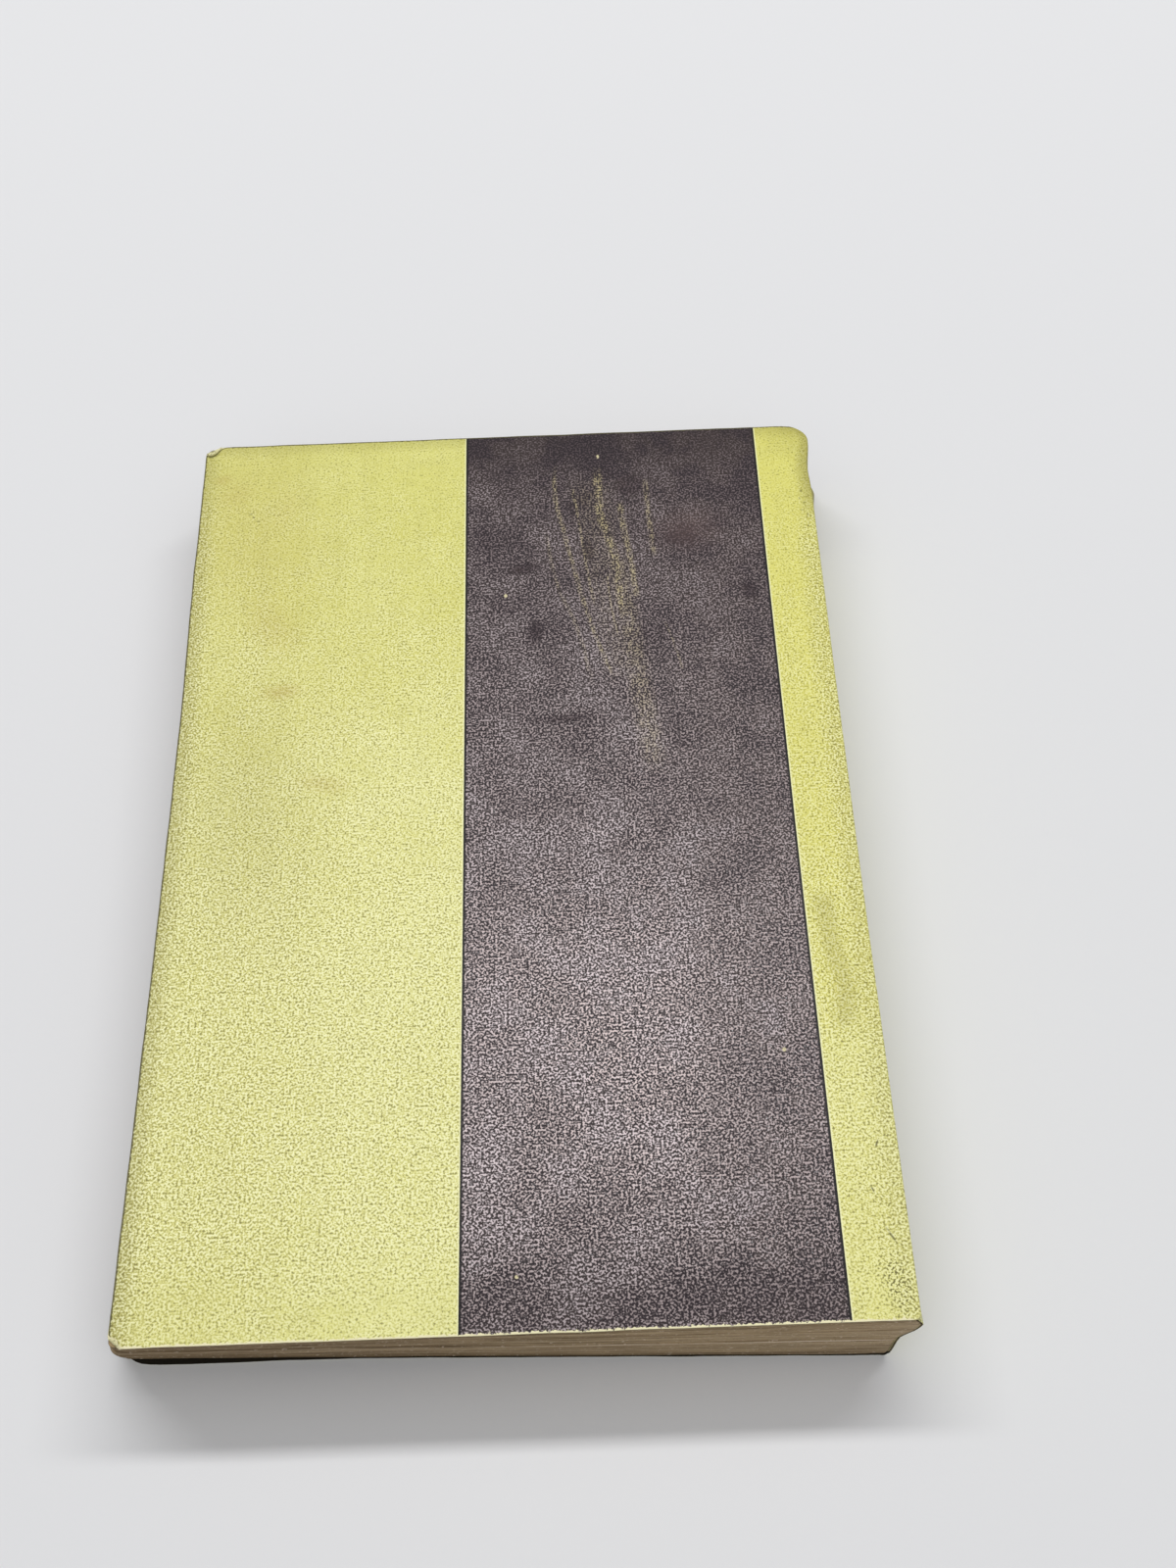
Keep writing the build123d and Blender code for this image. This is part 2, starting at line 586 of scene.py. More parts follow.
def leaf_point(x, y, count):
    """The place of a point of the block that was at (x, y) on the flat sheet."""
    height = leaf_height(count)
    share = height / book_thickness
    leaf = count // 2
    in_crack = count % 2 == 0
    back = crack_depth + open_cracks.get(leaf, 0) if in_crack else 0.0
    edge_place = Vector(((x + y) / (23 * mm), (x - y) / (23 * mm), height / (0.9 * mm)))
    back += 0.09 * mm * noise.noise(edge_place) + 0.05 * mm * noise.noise(4 * edge_place)
    near_x, far_x = half_width - card_thickness - cover_gap, half_width - fore_setback - back
    far_y = half_height - end_setback - back
    x *= (far_x if x < 0 else near_x) / half_width
    y *= far_y / half_height
    x, y = round_corner(x, y, near_x, far_y, max(0.4 * mm, knocked_radius(height) - 0.4 * mm))
    x, y = round_corner(x, y, near_x, -far_y, tail_corner)
    x, y = round_corner(x, y, -far_x, far_y, 1.2 * mm)
    x, y = round_corner(x, y, -far_x, -far_y, (2.4 - 1.6 * share) * mm)
    shift = leaf_shift[leaf] * fade(x - (half_width - 4 * mm), 4 * mm)
    return in_the_stack(x + shift.x, y + shift.y, height)


for vertex in leaves.verts:
    x, y, count = vertex.co
    vertex[flat_place] = (x / mm, y / mm, count / 2)
    vertex.co = leaf_point(x, y, round(count))

leaf_block = finished_piece("leaf_block", leaves, sharp=1.2)

# %% [markdown]
# ## Joining the pieces to the frame
#
# Card bends where it is creased, over a little more than a millimetre beside its fold, and the spine strip leans
# inwards at the tail, below the fold. The places at both ends of that bend are worked out for each cover piece,
# and the pieces are baked where they lie. The leaves ride with the block. Each piece hides the plain solids that
# it stands for.

# %% Ride and replace
bend_from, bend_to = 0.3 * mm, 1.6 * mm
bend_slope = 0.6


def beside_fold(distance, height, slope=0.0):
    """A point this far in from the fold at this height, raised by slope for each metre."""
    return in_the_stack(half_width - distance, 0, height) + Vector((0, 0, distance * slope))


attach(leaf_block, "book_block")
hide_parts("text_block")

beside_fold(bend_from, book_thickness, slope=bend_slope)
beside_fold(bend_to, book_thickness, slope=bend_slope)
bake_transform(back_cover_card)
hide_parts("back_cover", "cover_spine")

beside_fold(bend_from, 0)
beside_fold(bend_to, 0)
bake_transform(front_cover_card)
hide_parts("front_cover")

# %% [markdown]
# ## A bench for mixing finishes
#
# A finish is a small network of nodes, and most of its steps are the same few: a noise, a sum, a soft threshold,
# a mix of two colours. With this helper class the finishes and the sky below read like recipes.

# %% Build the bench


class Bench:
    """A material or a world in the making."""

    def __init__(self, owner):
        self.owner = owner
        owner.use_nodes = True
        self.tree = owner.node_tree
        self.tree.nodes.clear()

    def node(self, kind, sockets=(), **settings):
        made = self.tree.nodes.new("ShaderNode" + kind)
        for setting, value in settings.items():
            setattr(made, setting, value)
        for socket, value in dict(sockets).items():
            if isinstance(value, bpy.types.NodeSocket):
                self.tree.links.new(value, made.inputs[socket])
            else:
                made.inputs[socket].default_value = value
        return made

    def remembered(self, name, output="Vector"):
        return self.node("Attribute", attribute_name=name).outputs[output]

    def math(self, operation, a, b=0.0, c=0.0):
        return self.node("Math", {0: a, 1: b, 2: c}, operation=operation).outputs[0]

    def add(self, a, b):
        return self.math("ADD", a, b)

    def times(self, a, b):
        return self.math("MULTIPLY", a, b)

    def less(self, a, b):
        return self.math("SUBTRACT", a, b)

    def least(self, a, b):
        return self.math("MINIMUM", a, b)

    def scaled(self, vector, sizes):
        return self.node("VectorMath", {0: vector, 1: sizes}, operation="MULTIPLY").outputs[0]

    def parts(self, vector):
        return self.node("SeparateXYZ", {0: vector}).outputs

    def noise(self, vector, scale, detail=2.0, roughness=0.5):
        sockets = {"Vector": vector, "Scale": scale, "Detail": detail, "Roughness": roughness}
        return self.node("TexNoise", sockets).outputs["Fac"]

    def stretched(self, value, low, high, to_low=0.0, to_high=1.0, kind="LINEAR"):
        """From to_low where value is low to to_high where it is high, evenly, and no further."""
        sockets = {"Value": value, "From Min": low, "From Max": high, "To Min": to_low, "To Max": to_high}
        return self.node("MapRange", sockets, interpolation_type=kind).outputs[0]

    def ramp(self, *values):
        """The same, but softly."""
        return self.stretched(*values, kind="SMOOTHSTEP")

    def curve(self, value, places):
        """A smooth curve through places, whose numbers all lie between 0 and 1."""
        made = self.node("FloatCurve", {"Value": value})
        line = made.mapping.curves[0]
        line.points[0].location, line.points[1].location = places[0], places[-1]
        for place in places[1:-1]:
            line.points.new(*place)
        made.mapping.update()
        return made.outputs[0]

    def spot(self, flat, centre, size, degrees=0.0, soft=0.7):
        """1 in the middle of an ellipse on the sheet and 0 outside it; size is its two half axes."""
        sockets = {"Vector": flat, "Location": (*centre, 0), "Scale": (*size, 1000)}
        sockets["Rotation"] = (0, 0, radians(degrees))
        local = self.node("Mapping", sockets, vector_type="TEXTURE").outputs[0]
        away = self.node("VectorMath", {0: local}, operation="LENGTH").outputs["Value"]
        return self.ramp(away, 1.0, 1.0 - soft)

    def trail(self, x, y, places, width):
        """1 on a line through places, which run from head to tail, and 0 a width away from it."""
        xs, ys = zip(*places)
        left, right, low, high = min(xs), max(xs), min(ys), max(ys)
        share = self.stretched(y, low, high)
        shares = [((py - low) / (high - low), (px - left) / (right - left)) for px, py in reversed(places)]
        middle = self.stretched(self.curve(share, shares), 0, 1, left, right)
        away = self.math("ABSOLUTE", self.less(x, middle))
        ends = self.times(self.ramp(share, 0.0, 0.12), self.ramp(share, 1.0, 0.88))
        return self.times(self.ramp(away, width, 0.15 * width), ends)

    def most(self, *values):
        found = values[0]
        for value in values[1:]:
            found = self.math("MAXIMUM", found, value)
        return found

    def mix(self, share, a, b):
        made = self.node("Mix", data_type="RGBA")
        for socket, value in ((0, share), (6, a), (7, b)):
            if isinstance(value, bpy.types.NodeSocket):
                self.tree.links.new(value, made.inputs[socket])
            elif socket == 0:
                made.inputs[socket].default_value = value
            else:
                made.inputs[socket].default_value = (*value, 1.0)
        return made.outputs[2]

    def tint(self, colour, ink, *where):
        """Lays ink over colour where a ramp of these values says so."""
        return self.mix(self.ramp(*where), colour, ink)

    def finish(self, colour, roughness, height, rise, specular=0.5):
        """Joins colour, roughness and bump to the surface; rise is in metres for a height of 1."""
        bump = self.node("Bump", {"Height": height, "Distance": rise, "Strength": 1.0}).outputs[0]
        surface = self.node("BsdfPrincipled", {"Base Color": colour, "Roughness": roughness, "Normal": bump})
        surface.inputs["Specular IOR Level"].default_value = specular
        self.node("OutputMaterial", {"Surface": surface.outputs[0]})
        print(self.owner.name, len(self.tree.nodes), "nodes")
        return self.owner


# %% [markdown]
# ## Printed card
#
# The card is a cream board with a yellow-green ink on its outer face and a grain of bumps about a third of a
# millimetre wide. Handling rubs and pales their tops and leaves dirt in the valleys between them, more so towards
# the reader's hands than at the head, which is still smooth. A curve along the sheet says how worn it is there;
# it also carries a painted sheen, highest in the lower middle where the lamp's reflection falls on the card. All
# places below are millimetres on the flat sheet.

# %% Choose the inks
card_cream = (0.66, 0.59, 0.36)
card_rim = (0.86, 0.80, 0.52)
card_flap = (0.76, 0.72, 0.40)
# Near black, for grime and painted shade on the lower cover's cut face and inside
grime_and_shade_black = (0.016, 0.013, 0.008)
card_brown = (0.13, 0.095, 0.05)
card_olive = (0.05, 0.038, 0.014)
card_inside = (0.66, 0.61, 0.42)
card_margin = (0.58, 0.53, 0.29)
ink_green = (0.622, 0.589, 0.171)
ink_green_deep = (0.69, 0.666, 0.188)
ink_green_pale = (0.785, 0.765, 0.294)
ink_green_light = (0.95, 0.94, 0.55)
ink_green_strip = (0.725, 0.69, 0.162)
# Olive, for dirt and also for painted shade by the fold
olive_dirt_and_shade = (0.19, 0.158, 0.035)
olive_black = (0.085, 0.075, 0.025)
foxing = (0.42, 0.27, 0.07)
band_plum = (0.017, 0.011, 0.014)
band_brown = (0.030, 0.020, 0.019)
band_black = (0.004, 0.0035, 0.004)
top_plum = (0.116, 0.086, 0.092)
# Pale tops of the grain, partly wear and partly painted sheen
worn_and_sheen_blue = (0.765, 0.655, 0.67)
worn_and_sheen_brown = (0.77, 0.64, 0.625)
# White for painted glints
glint_white = (0.86, 0.84, 0.86)
rub_olive = (0.50, 0.42, 0.235)
red_brown = (0.15, 0.095, 0.085)

band_from, band_to = -7.3, 44.7
grain_rise = 0.07 * mm
reach_x, reach_y = half_width / mm, half_height / mm

# %% [markdown]
# A broad band of dark plum ink runs from head to tail, edged with a black line and a pale one where the two inks
# don't quite meet. Something has rubbed along it near the head and left a sheaf of thin olive trails. There are
# foxed patches, a few chips where the cream shows, dark marks by the fold, and two faint creases. Each is one
# spot or trail from the bench, at the place measured for it.

# %% List the marks of the back cover
rub_trails = (
    # places from head to tail, width, strength
    (
        ((8.8, 74.6), (8.4, 68.1), (9.8, 58.7), (11.4, 50.1), (13.5, 40.1), (16.9, 28.2), (18.1, 24.5)),
        0.65,
        0.7,
    ),
    (((11.3, 69.9), (12.9, 57.4), (13.6, 50.6), (14.9, 40.9)), 0.5, 0.6),
    (((16.1, 73.6), (16.2, 63.0), (17.2, 58.3), (18.8, 49.7), (19.5, 37.9)), 1.3, 0.9),
    (((17.1, 50.3), (17.4, 43.2), (18.8, 34.5)), 0.35, 0.6),
    (((19.8, 65.5), (20.1, 60.5), (21.3, 50.7), (21.9, 42.2)), 0.95, 0.75),
    (((24.5, 70.2), (24.8, 61.4), (25.4, 51.6)), 0.75, 0.65),
    (((6.5, 59.7), (8.4, 46.9), (11.7, 36.9), (13.9, 24.8)), 0.6, 0.35),
    (((14.5, 72.0), (16.0, 57.0), (18.0, 40.0), (20.5, 24.0)), 5.5, 0.22),
    (((18.6, 55.8), (20.0, 40.7), (21.8, 23.9), (23.6, 6.7)), 2.8, 0.45),
    (((15.2, 34.6), (15.9, 31.6), (16.9, 28.0)), 0.22, 1.0),
    (((26.3, 38.4), (28.0, 32.2), (28.9, 27.5)), 0.35, 0.4),
)
dull_spots = (
    # centre, half axes, degrees: less worn, and with less painted sheen, than their surroundings
    ((14.0, 54.0), (1.6, 3.5), 8),
    ((2.6, 50.4), (4.2, 1.7), 10),
    ((30.0, 56.5), (3.6, 2.4), 20),
    ((41.2, 44.0), (2.2, 3.4), 0),
    ((4.6, 36.5), (2.4, 3.6), -10),
    ((9.5, 19.0), (7.0, 1.3), 4),
    ((21.5, 68.5), (3.6, 3.4), 0),
)
stains = (
    # centre, half axes, degrees, strength, stain
    ((-50.4, 73.1), (2.6, 1.8), 20, 0.30, foxing),
    ((-37.6, 26.4), (5.0, 2.4), 5, 0.36, foxing),
    ((-29.8, 8.0), (6.5, 2.6), -10, 0.24, foxing),
    ((-39.6, 39.9), (6.0, 9.0), 30, 0.16, foxing),
    ((-42.0, 2.0), (17.0, 36.0), 3, 0.15, olive_dirt_and_shade),
    ((-44.0, 60.0), (17.0, 30.0), 8, 0.12, foxing),
    ((-48.0, 69.5), (4.2, 5.5), -25, 0.16, foxing),
    ((-38.5, 66.0), (3.2, 6.0), -15, 0.10, foxing),
    ((31.5, 58.0), (9.0, 7.0), 15, 0.35, red_brown),
)
chips = (
    # centre, half axes
    ((-0.4, 44.7), (0.35, 0.45)),
    ((16.3, 75.3), (0.3, 0.5)),
    ((0.5, -73.2), (0.32, 0.32)),
    ((39.4, -41.1), (0.35, 0.4)),
)
dark_marks = (
    # centre, half axes, degrees
    ((-45.0, 64.9), (0.6, 0.25), 25),
    ((-43.6, 63.3), (0.7, 0.3), -20),
    ((-44.4, 64.2), (0.3, 0.25), 0),
    ((50.9, -56.0), (0.22, 1.0), -25),
    ((49.5, -62.6), (0.2, 0.9), 20),
    ((51.2, -69.2), (0.28, 1.8), 28),
    ((52.0, 65.6), (0.3, 0.5), 12),
    ((51.6, 63.9), (0.2, 0.4), 30),
    ((52.3, 62.8), (0.2, 0.5), 8),
    ((51.9, 61.2), (0.2, 0.3), 50),
    ((52.7, 60.1), (0.25, 0.6), 8),
    ((52.5, 57.6), (0.15, 0.4), 8),
)
ring_places, ring_width = ((47.4, -14.0), (48.3, -25.0), (49.3, -32.0), (46.8, -39.0)), 2.6
smudge_place = ((51.2, -76.0), (3.2, 6.5), 10)
# Darker beside the fold and by the knocked corner at the head: partly dirt, partly painted shade where the card
# turns away.
fold_darkening = (((50.8, 53.6), (56, 68), 0.45), ((43, 50), (71, 80), 0.2), ((52.9, 54.1), (60, 68), 0.6))
crease_lines = (
    # middle, half axes, degrees
    ((12.2, -2.1), (7.2, 0.35), -26),
    ((25.0, -33.4), (5.2, 0.35), -43),
)

# %% [markdown]
# The recipe for the card is split. The first part says how worn each place is, a value that holds a painted sheen
# too, and where the tops and valleys of the grain lie, the second mixes the green, the third the band, and the
# last lays one over the other and adds marks and the cut edges.

# %% Wear and grain
# The curve is partly wear and partly painted sheen: it is highest about a third of the way up from the tail.
way_along = (0, 0.03, 0.09, 0.17, 0.27, 0.33, 0.39, 0.46, 0.54, 0.69, 0.83, 0.91, 1)  # from tail to head
wear_and_sheen_there = (0.36, 0.46, 0.74, 0.87, 0.91, 0.93, 0.82, 0.67, 0.56, 0.42, 0.26, 0.16, 0)
wear_and_sheen_along = list(zip(way_along, wear_and_sheen_there))


def wear_and_grain(card, flat, y, dulled):
    """How worn the card is, with a painted sheen in it, from about 0 to 1, and the grain, which is above 0.5 on
    the tops of its bumps.
    """
    along = card.stretched(y, -reach_y, reach_y)
    worn = card.curve(along, wear_and_sheen_along)
    patches = card.less(card.noise(flat, 0.1, 3.0, 0.65), 0.5)
    worn = card.add(worn, card.times(patches, 0.9))
    if dulled:
        worn = card.less(worn, card.times(dulled, 0.35))
    pebbles = card.noise(flat, 3.0, 1.0, 0.5)
    clusters = card.noise(flat, 1.0, 1.0, 0.5)
    return worn, card.add(pebbles, card.times(card.less(clusters, 0.5), 0.12))


# %% Green ink


def green_ink(card, flat, worn, grain):
    """The green, deeper and smoother at the head and paler towards the tail, partly a painted sheen, with dirt in
    its valleys and its tops rubbed pale, partly painted glints.
    """
    x, y, z = card.parts(flat)
    clouds = card.noise(flat, 0.05, 3.0, 0.6)
    # Paler and bluer towards the tail: partly the ink, partly a painted sheen where the lamp's reflection falls.
    deeper_with_less_sheen = card.add(card.ramp(y, -25, 70), card.ramp(clouds, 0.36, 0.64, 0.2, -0.2))
    green = card.mix(deeper_with_less_sheen, ink_green_pale, ink_green_deep)
    green = card.tint(green, ink_green, x, -14, -46, 0.0, 0.5)
    strip = card.times(card.ramp(x, 42, 46), card.ramp(y, -30, -46, 0.9, 0.35))
    green = card.mix(strip, green, ink_green_strip)
    strokes = card.noise(card.scaled(flat, (0.35, 0.03, 1)), 1.0, 2.0, 0.6)
    green = card.tint(green, olive_dirt_and_shade, strokes, 0.4, 0.7, 0.0, 0.05)
    mottled = card.noise(flat, 0.3, 3.0, 0.7)
    green = card.tint(green, olive_dirt_and_shade, mottled, 0.48, 0.66, 0.0, 0.07)
    handled_edge = card.most(card.ramp(x, 49.6, 53.0), card.ramp(x, -49, -53.6))
    handled_edge = card.times(handled_edge, card.ramp(y, 70, 48, 0.35, 1.0))
    green = card.mix(card.times(handled_edge, 0.22), green, olive_dirt_and_shade)

    contrast = card.ramp(card.add(worn, card.times(handled_edge, 0.5)), -0.1, 0.9, 0.2, 1.0)
    valleys = card.times(card.stretched(grain, 0.49, 0.39), card.times(contrast, 0.42))
    green = card.mix(valleys, green, olive_dirt_and_shade)
    # Partly painted glints: the tops are paled most where the card is worn and sheened.
    tops = card.times(card.stretched(grain, 0.50, 0.58), contrast)
    tops = card.times(tops, card.ramp(x, 42, 46, 0.9, 0.7))
    green = card.mix(tops, green, ink_green_light)
    specks = card.times(card.ramp(card.less(grain, card.times(contrast, 0.03)), 0.35, 0.30), 0.5)
    return card.mix(specks, green, olive_black)


# %% Plum band


def plum_band(card, flat, inside, worn, grain):
    """The plum ink, whose rubbed tops show blue or brown, or olive where something has rubbed along it; their
    paleness is partly wear and partly painted sheen.
    """
    x, y, z = card.parts(flat)
    broken = card.noise(card.scaled(flat, (1.0, 0.3, 1)), 1.6, 2.0, 0.6)
    trails = (card.times(card.trail(x, y, places, width), share) for places, width, share in rub_trails)
    rubbed = card.most(*trails)
    rubbed = card.times(rubbed, card.ramp(broken, 0.38, 0.58, 0.35, 1.0))
    hue = card.noise(flat, 0.1, 3.0, 0.65)
    plum = card.tint(band_plum, band_brown, hue, 0.42, 0.6)
    hue = card.less(hue, card.ramp(x, 18, 40, 0.0, 0.10))
    polish_and_sheen_tone = card.tint(worn_and_sheen_blue, worn_and_sheen_brown, hue, 0.60, 0.42)
    # Painted sheen: a soft bright patch of pale tops where the lamp's reflection falls, added to the wear.
    sheen = card.spot(flat, (17, -42), (15, 26), 0, 1.0)
    sheen_and_wear = card.times(card.add(worn, card.times(sheen, 0.24)), card.ramp(x, 20, 38, 1.0, 0.68))
    top = card.mix(card.stretched(sheen_and_wear, 0.0, 1.15, 0.0, 1.15), top_plum, polish_and_sheen_tone)
    top = card.mix(rubbed, top, rub_olive)
    topped = card.stretched(card.add(grain, card.times(rubbed, 0.05)), 0.41, 0.60)
    # The tops darken towards the head, where the painted sheen fades out.
    top = card.tint(top, plum, y, 67, 79, 0.0, 0.45)
    plum = card.mix(card.math("POWER", topped, card.ramp(worn, 0.0, 1.0, 3.0, 2.0)), plum, top)
    # Painted glints: white specks on the grain tops, more where the card is worn and sheened.
    sparkles = card.ramp(card.noise(flat, 3.4, 1.0, 0.5), 0.66, 0.72)
    plum = card.mix(card.times(sparkles, card.ramp(worn, 0.2, 1.0, 0.0, 0.55)), plum, glint_white)
    return card.tint(plum, band_black, inside, 0.46, 0.28, 0.0, 0.95)


# %% Mix the printed card


def printed_card(name, has_band):
    """The card of a cover, and for the back one its band and its marks too."""
    card = Bench(bpy.data.materials.new(name))
    flat = card.remembered("flat")
    x, y, z = card.parts(flat)
    from_fore, from_tail = card.add(x, reach_x), card.add(y, reach_y)
    from_head, depth = card.less(reach_y, y), card.times(z, -1)
    dulled = card.most(*(card.spot(flat, *dull, soft=0.9) for dull in dull_spots)) if has_band else None
    worn, grain = wear_and_grain(card, flat, y, dulled)
    colour = green_ink(card, flat, worn, grain)

    speckled = card.noise(flat, 1.7, 2.0, 0.65)
    ragged = card.less(speckled, 0.5)
    crease = None
    if has_band:
        # The band, with a thin pale line where the green stops short of it
        wavy_x = card.add(x, card.times(ragged, 0.06))
        inside = card.least(card.less(wavy_x, band_from), card.less(band_to, wavy_x))
        colour = card.mix(card.times(card.ramp(inside, -0.30, -0.12), 0.7), colour, ink_green_light)
        colour = card.mix(card.ramp(inside, -0.04, 0.04), colour, plum_band(card, flat, inside, worn, grain))

        # Foxing, the ring and the smudge by the fold, dark marks, chips and creases
        for centre, size, degrees, strength, tint in stains:
            stain = card.spot(flat, centre, size, degrees, 0.95)
            stain = card.times(stain, card.ramp(speckled, 0.38, 0.6, 0.6, 1.0))
            colour = card.mix(card.times(stain, strength), colour, tint)
        ring = card.trail(x, y, ring_places, ring_width)
        smudge = card.spot(flat, *smudge_place, soft=0.9)
        colour = card.mix(card.times(ring, 0.24), colour, olive_dirt_and_shade)
        colour = card.mix(card.times(smudge, card.ramp(grain, 0.48, 0.41, 0.0, 0.75)), colour, olive_black)
        marks = card.most(*(card.spot(flat, *mark, soft=0.8) for mark in dark_marks))
        colour = card.mix(card.times(marks, card.ramp(speckled, 0.35, 0.6, 0.2, 0.85)), colour, olive_black)
        chipped = card.most(*(card.spot(flat, *chip, soft=0.4) for chip in chips))
        colour = card.mix(card.times(chipped, card.ramp(speckled, 0.3, 0.5)), colour, card_cream)
        crease = card.most(*(card.spot(flat, *line, soft=1.0) for line in crease_lines))
        colour = card.mix(card.times(crease, 0.22), colour, worn_and_sheen_brown)

    # Beside the cut edges: dirty along the head and the fore edge, rubbed to the cream along the tail
    outer = card.least(from_fore, from_head)
    dirty = card.ramp(card.add(outer, card.times(ragged, 2.0)), 3.6, 0.3, 0.0, 0.24)
    if has_band:
        dirty = card.times(dirty, card.ramp(inside, 0.0, -0.3))
    colour = card.mix(dirty, colour, olive_dirt_and_shade)
    blackened = card.ramp(card.add(outer, card.times(ragged, 0.5)), 0.38, 0.18, 0.0, 0.9)
    colour = card.mix(blackened, colour, olive_black)
    # Darker by the fold at the head: partly dirt, partly painted shade where the card turns away.
    darkened_by_fold = (card.times(card.ramp(x, *xs), card.ramp(y, *ys, 0.0, share)) for xs, ys, share in fold_darkening)
    colour = card.mix(card.most(*darkened_by_fold), colour, olive_dirt_and_shade)
    rubbed_tail = card.ramp(card.add(from_tail, card.times(ragged, 1.3)), 0.36, 0.20)
    colour = card.mix(card.times(rubbed_tail, card.ramp(x, 54, 53)), colour, card_rim)

    # Below the ink lie the cut face and the inside of the card
    fibres = card.noise(card.scaled(flat, (1.5, 1.5, 9)), 2.2, 2.0, 0.65)
    # The cut faces are dark: dirt on them, and painted shade of the gaps at the covers' edges; the lower cover's
    # is near black.
    cut = card.tint(card_olive, card_brown, fibres, 0.40, 0.68) if has_band else grime_and_shade_black
    rim = card.times(card.ramp(depth, 0.12, 0.07), card.ramp(from_tail, 1.0, 0.5))
    cut = card.mix(card.times(rim, card.ramp(x, 53.6, 53.2)), cut, card_rim)
    flaps = card.most(*(card.spot(flat, (-54, end), (5, 5), 0, 0.5) for end in (81, -81)))  # the curls
    if has_band:
        cut = card.mix(flaps, cut, card_rim)
    below = card.ramp(card.add(depth, card.times(ragged, 0.05)), 0.03, 0.06)
    colour = card.mix(below, colour, cut)
    edge_near = card.least(outer, from_tail)
    browned = card.ramp(card.add(edge_near, card.times(speckled, -8)), 4, -4)
    inner = card.mix(browned, card_inside, card_margin)
    inner = card.tint(inner, card_brown, fibres, 0.52, 0.7, 0.0, 0.25)
    if has_band:
        inner = card.mix(flaps, inner, card_flap)
        # Painted shade: dark speckled lines in the crevices of the curled corners.
        inner = card.mix(card.times(flaps, card.ramp(speckled, 0.53, 0.60, 0.0, 0.6)), inner, olive_black)
    else:
        # Painted shade: the inside of the lower cover goes near black by its tail, in the gap under the curled
        # leaves.
        inner = card.tint(inner, grime_and_shade_black, from_tail, 3.4, 1.7)
    colour = card.tint(colour, inner, depth, 0.35, 0.38)

    rough = card.add(card.ramp(worn, 0.0, 1.0, 0.55, 0.36), card.times(below, 0.4))
    height = card.less(grain, card.times(crease, 0.3)) if crease else grain
    return card.finish(colour, rough, height, grain_rise, specular=0.14)


back_print = printed_card("printed_card_with_band", True)
front_print = printed_card("printed_card", False)
back_cover_card.data.materials.append(back_print)
front_cover_card.data.materials.append(front_print)

# %% [markdown]
# ## Aged paper
#
# Cheap paper browns from its edges inwards, so the edges of the block are tan, and the two open pages are paler
# in the middle. Each leaf's edge has a tone of its own.

# %% Mix the aged paper
paper_edge = (0.49, 0.375, 0.235)
paper_edge_dark = (0.20, 0.142, 0.08)
paper_shadow = (0.05, 0.035, 0.018)
paper_ledge = (0.90, 0.76, 0.62)
paper_page = (0.66, 0.57, 0.41)
paper_margin = (0.45, 0.33, 0.18)


def aged_paper(name):
    """Leaf edges on the walls of the block, and a browned page on its two flat faces."""
    paper = Bench(bpy.data.materials.new(name))
    flat = paper.remembered("flat")
    x, y, z = paper.parts(flat)
    tone = paper.remembered("leaf_tone", "Fac")
    page = paper.remembered("page_face", "Fac")

    # The edges of the leaves: long streaks, darker towards the table and towards the fore edge, where the
    # darkening is partly painted shade of the overhanging cover; z counts leaves
    streaks = paper.noise(paper.scaled(flat, (0.025, 0.025, 0.3)), 1.0, 3.0, 0.75)
    fine = paper.noise(paper.scaled(flat, (0.09, 0.09, 0.9)), 1.0, 2.0, 0.7)
    flecks = paper.noise(paper.scaled(flat, (1.6, 1.6, 1.6)), 1.0, 1.0)
    plain_tone = paper.least(tone, 1.0)
    shade = paper.add(paper.times(plain_tone, 0.25), paper.add(paper.times(streaks, 1.5), fine))
    shade = paper.add(shade, paper.add(paper.ramp(x, -60, 60, -0.16, 0.12), paper.ramp(z, 0, 60, -0.14, 0.02)))
    edge = paper.tint(paper_edge_dark, paper_edge, shade, 1.02, 1.74)
    edge = paper.tint(edge, paper_ledge, flecks, 0.64, 0.74, 0.0, 0.5)
    edge = paper.tint(edge, paper_edge_dark, flecks, 0.34, 0.26, 0.0, 0.45)
    # Painted highlight: the lit ledge just below the break is paled, most towards the spine.
    lit = paper.ramp(paper.add(x, paper.times(fine, 30)), -10, 25, 0.15, 1.0)
    ledge = paper.times(paper.ramp(tone, 1.3, 1.8), lit)
    edge = paper.mix(paper.times(ledge, paper.ramp(fine, 0.40, 0.52, 0.25, 1.0)), edge, paper_ledge)
    edge = paper.tint(edge, paper_edge_dark, z, 67, 61, 0.0, 0.14)
    # Painted shade: the leaves just under the upper cover and just above the lower one are darkened, as in the
    # covers' shadow.
    shade_by_the_covers = paper.most(paper.ramp(z, 147, 156, 0.0, 0.7), paper.ramp(z, 10, 4))
    edge = paper.mix(shade_by_the_covers, edge, paper_shadow)

    # The open pages, browned from their edges inwards
    from_edge = paper.least(paper.add(x, reach_x), paper.less(reach_y, paper.math("ABSOLUTE", y)))
    cloud = paper.noise(flat, 0.12, 3.0, 0.6)
    browned = paper.ramp(paper.add(from_edge, paper.times(cloud, -6)), 6, -2)
    leaf = paper.mix(browned, paper_page, paper_margin)
    leaf = paper.tint(leaf, paper_margin, paper.noise(flat, 3.0, 3.0, 0.7), 0.3, 0.8, 0.0, 0.15)
    colour = paper.mix(page, edge, leaf)
    height = paper.noise(flat, 4.0, 3.0, 0.6)
    return paper.finish(colour, 0.88, height, 0.015 * mm, specular=0.25)


leaf_block.data.materials.append(aged_paper("aged_paper"))

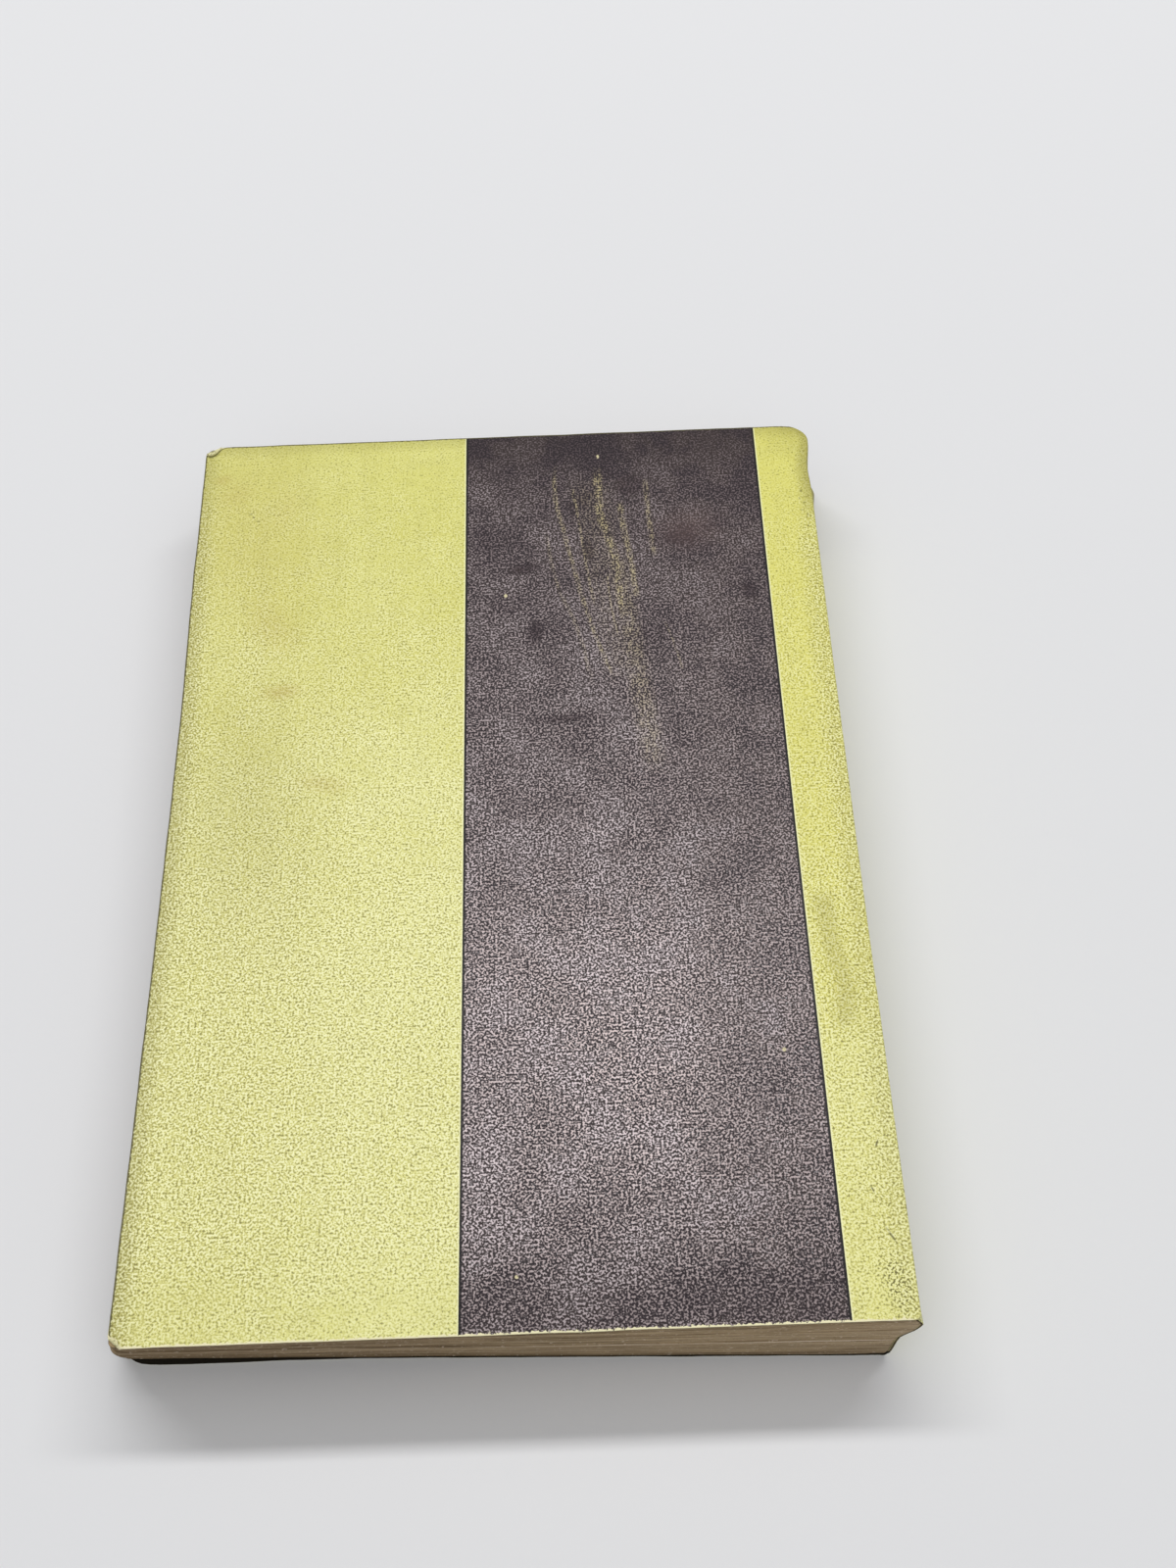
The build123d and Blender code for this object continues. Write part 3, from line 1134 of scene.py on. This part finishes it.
# %% [markdown]
# ## Table, light and camera
#
# A plain pale floor takes the shadow, and the world is white where the camera or a reflection looks at it. For
# everything else it is a soft sky, brightest overhead and a little towards the reader. A long strip of light
# hangs high behind the head of the book, for a crisp shadow in front and a sheen on the grain of the card.

# %% Lay the floor
floor_shape = bmesh.new()
bmesh.ops.create_grid(floor_shape, x_segments=1, y_segments=1, size=2.0)
bmesh.ops.translate(floor_shape, vec=(0, 0, -0.02 * mm), verts=floor_shape.verts[:])
floor = finished_piece("floor", floor_shape)

table = Bench(bpy.data.materials.new("pale_table"))
place = table.node("TexCoord").outputs["Object"]
table_tone = table.mix(table.noise(place, 3.0, 2.0), (0.745, 0.745, 0.755), (0.77, 0.77, 0.78))
floor.data.materials.append(table.finish(table_tone, 0.9, table.noise(place, 900.0, 2.0), 0.02 * mm, 0.2))

# %% Light the scene
world = bpy.data.worlds.new("studio")
bpy.context.scene.world = world
sky_lean = radians(20)
sky_least, sky_extra = 0.105, 1.10

air = Bench(world)
up = {0: air.node("TexCoord").outputs["Generated"], 1: (0, -sin(sky_lean), cos(sky_lean))}
towards_sky = air.node("VectorMath", up, operation="DOT_PRODUCT").outputs["Value"]
overhead = air.math("POWER", air.most(towards_sky, 0.0), 3.0)
sky_level = air.add(air.times(overhead, sky_extra), sky_least)
sky = air.node("Background", {"Color": (0.98, 0.99, 1.0, 1), "Strength": sky_level})
white = air.node("Background", {"Color": (1, 1, 1, 1), "Strength": 1.0})

seen = air.node("LightPath").outputs
whiteness = air.most(seen["Is Camera Ray"], seen["Is Glossy Ray"], seen["Is Transmission Ray"])
either = air.node("MixShader", {0: whiteness, 1: sky.outputs[0], 2: white.outputs[0]})
air.node("OutputWorld", {"Surface": either.outputs[0]})
print("sky from", sky_least, "to", sky_least + sky_extra)

# %% Hang the lamp
lamp_distance, lamp_height = 1.6, radians(64.0)
strip_light = bpy.data.lights.new("strip_lamp", "AREA")
strip_light.shape = "RECTANGLE"
strip_light.size, strip_light.size_y = 2.2, 0.16
strip_light.energy = 17.0  # watts
strip_lamp = bpy.data.objects.new("strip_lamp", strip_light)
strip_lamp.location = lamp_distance * Vector((0, cos(lamp_height), sin(lamp_height)))
strip_lamp.rotation_euler = strip_lamp.location.to_track_quat("Z", "Y").to_euler()
strip_lamp.visible_camera = False
bpy.context.scene.collection.objects.link(strip_lamp)

# %% [markdown]
# The camera looks down on the tail of the book. Its place, tilt and lens were worked out from the corners of
# the book in the picture, with the focal length counted in the picture's own pixels.

# %% Set up the camera
picture_height = 1600
focal_length = 1838
camera_place = Vector((17.2, -151.6, 257.5)) * mm
pitch, yaw, roll = radians(57.06), radians(-2.08), radians(-2.44)

lens = bpy.data.cameras.new("camera")
lens.sensor_width = 36
lens.lens = focal_length / picture_height * lens.sensor_width
lens.clip_start = 0.01
camera = bpy.data.objects.new("camera", lens)
camera.matrix_world = (
    Matrix.Translation(camera_place)
    @ Matrix.Rotation(-yaw, 4, "Z")
    @ Matrix.Rotation(pi / 2 - pitch, 4, "X")
    @ Matrix.Rotation(roll, 4, "Z")
)
bpy.context.scene.collection.objects.link(camera)
bpy.context.scene.camera = camera
bpy.context.scene.view_settings.view_transform = "Standard"
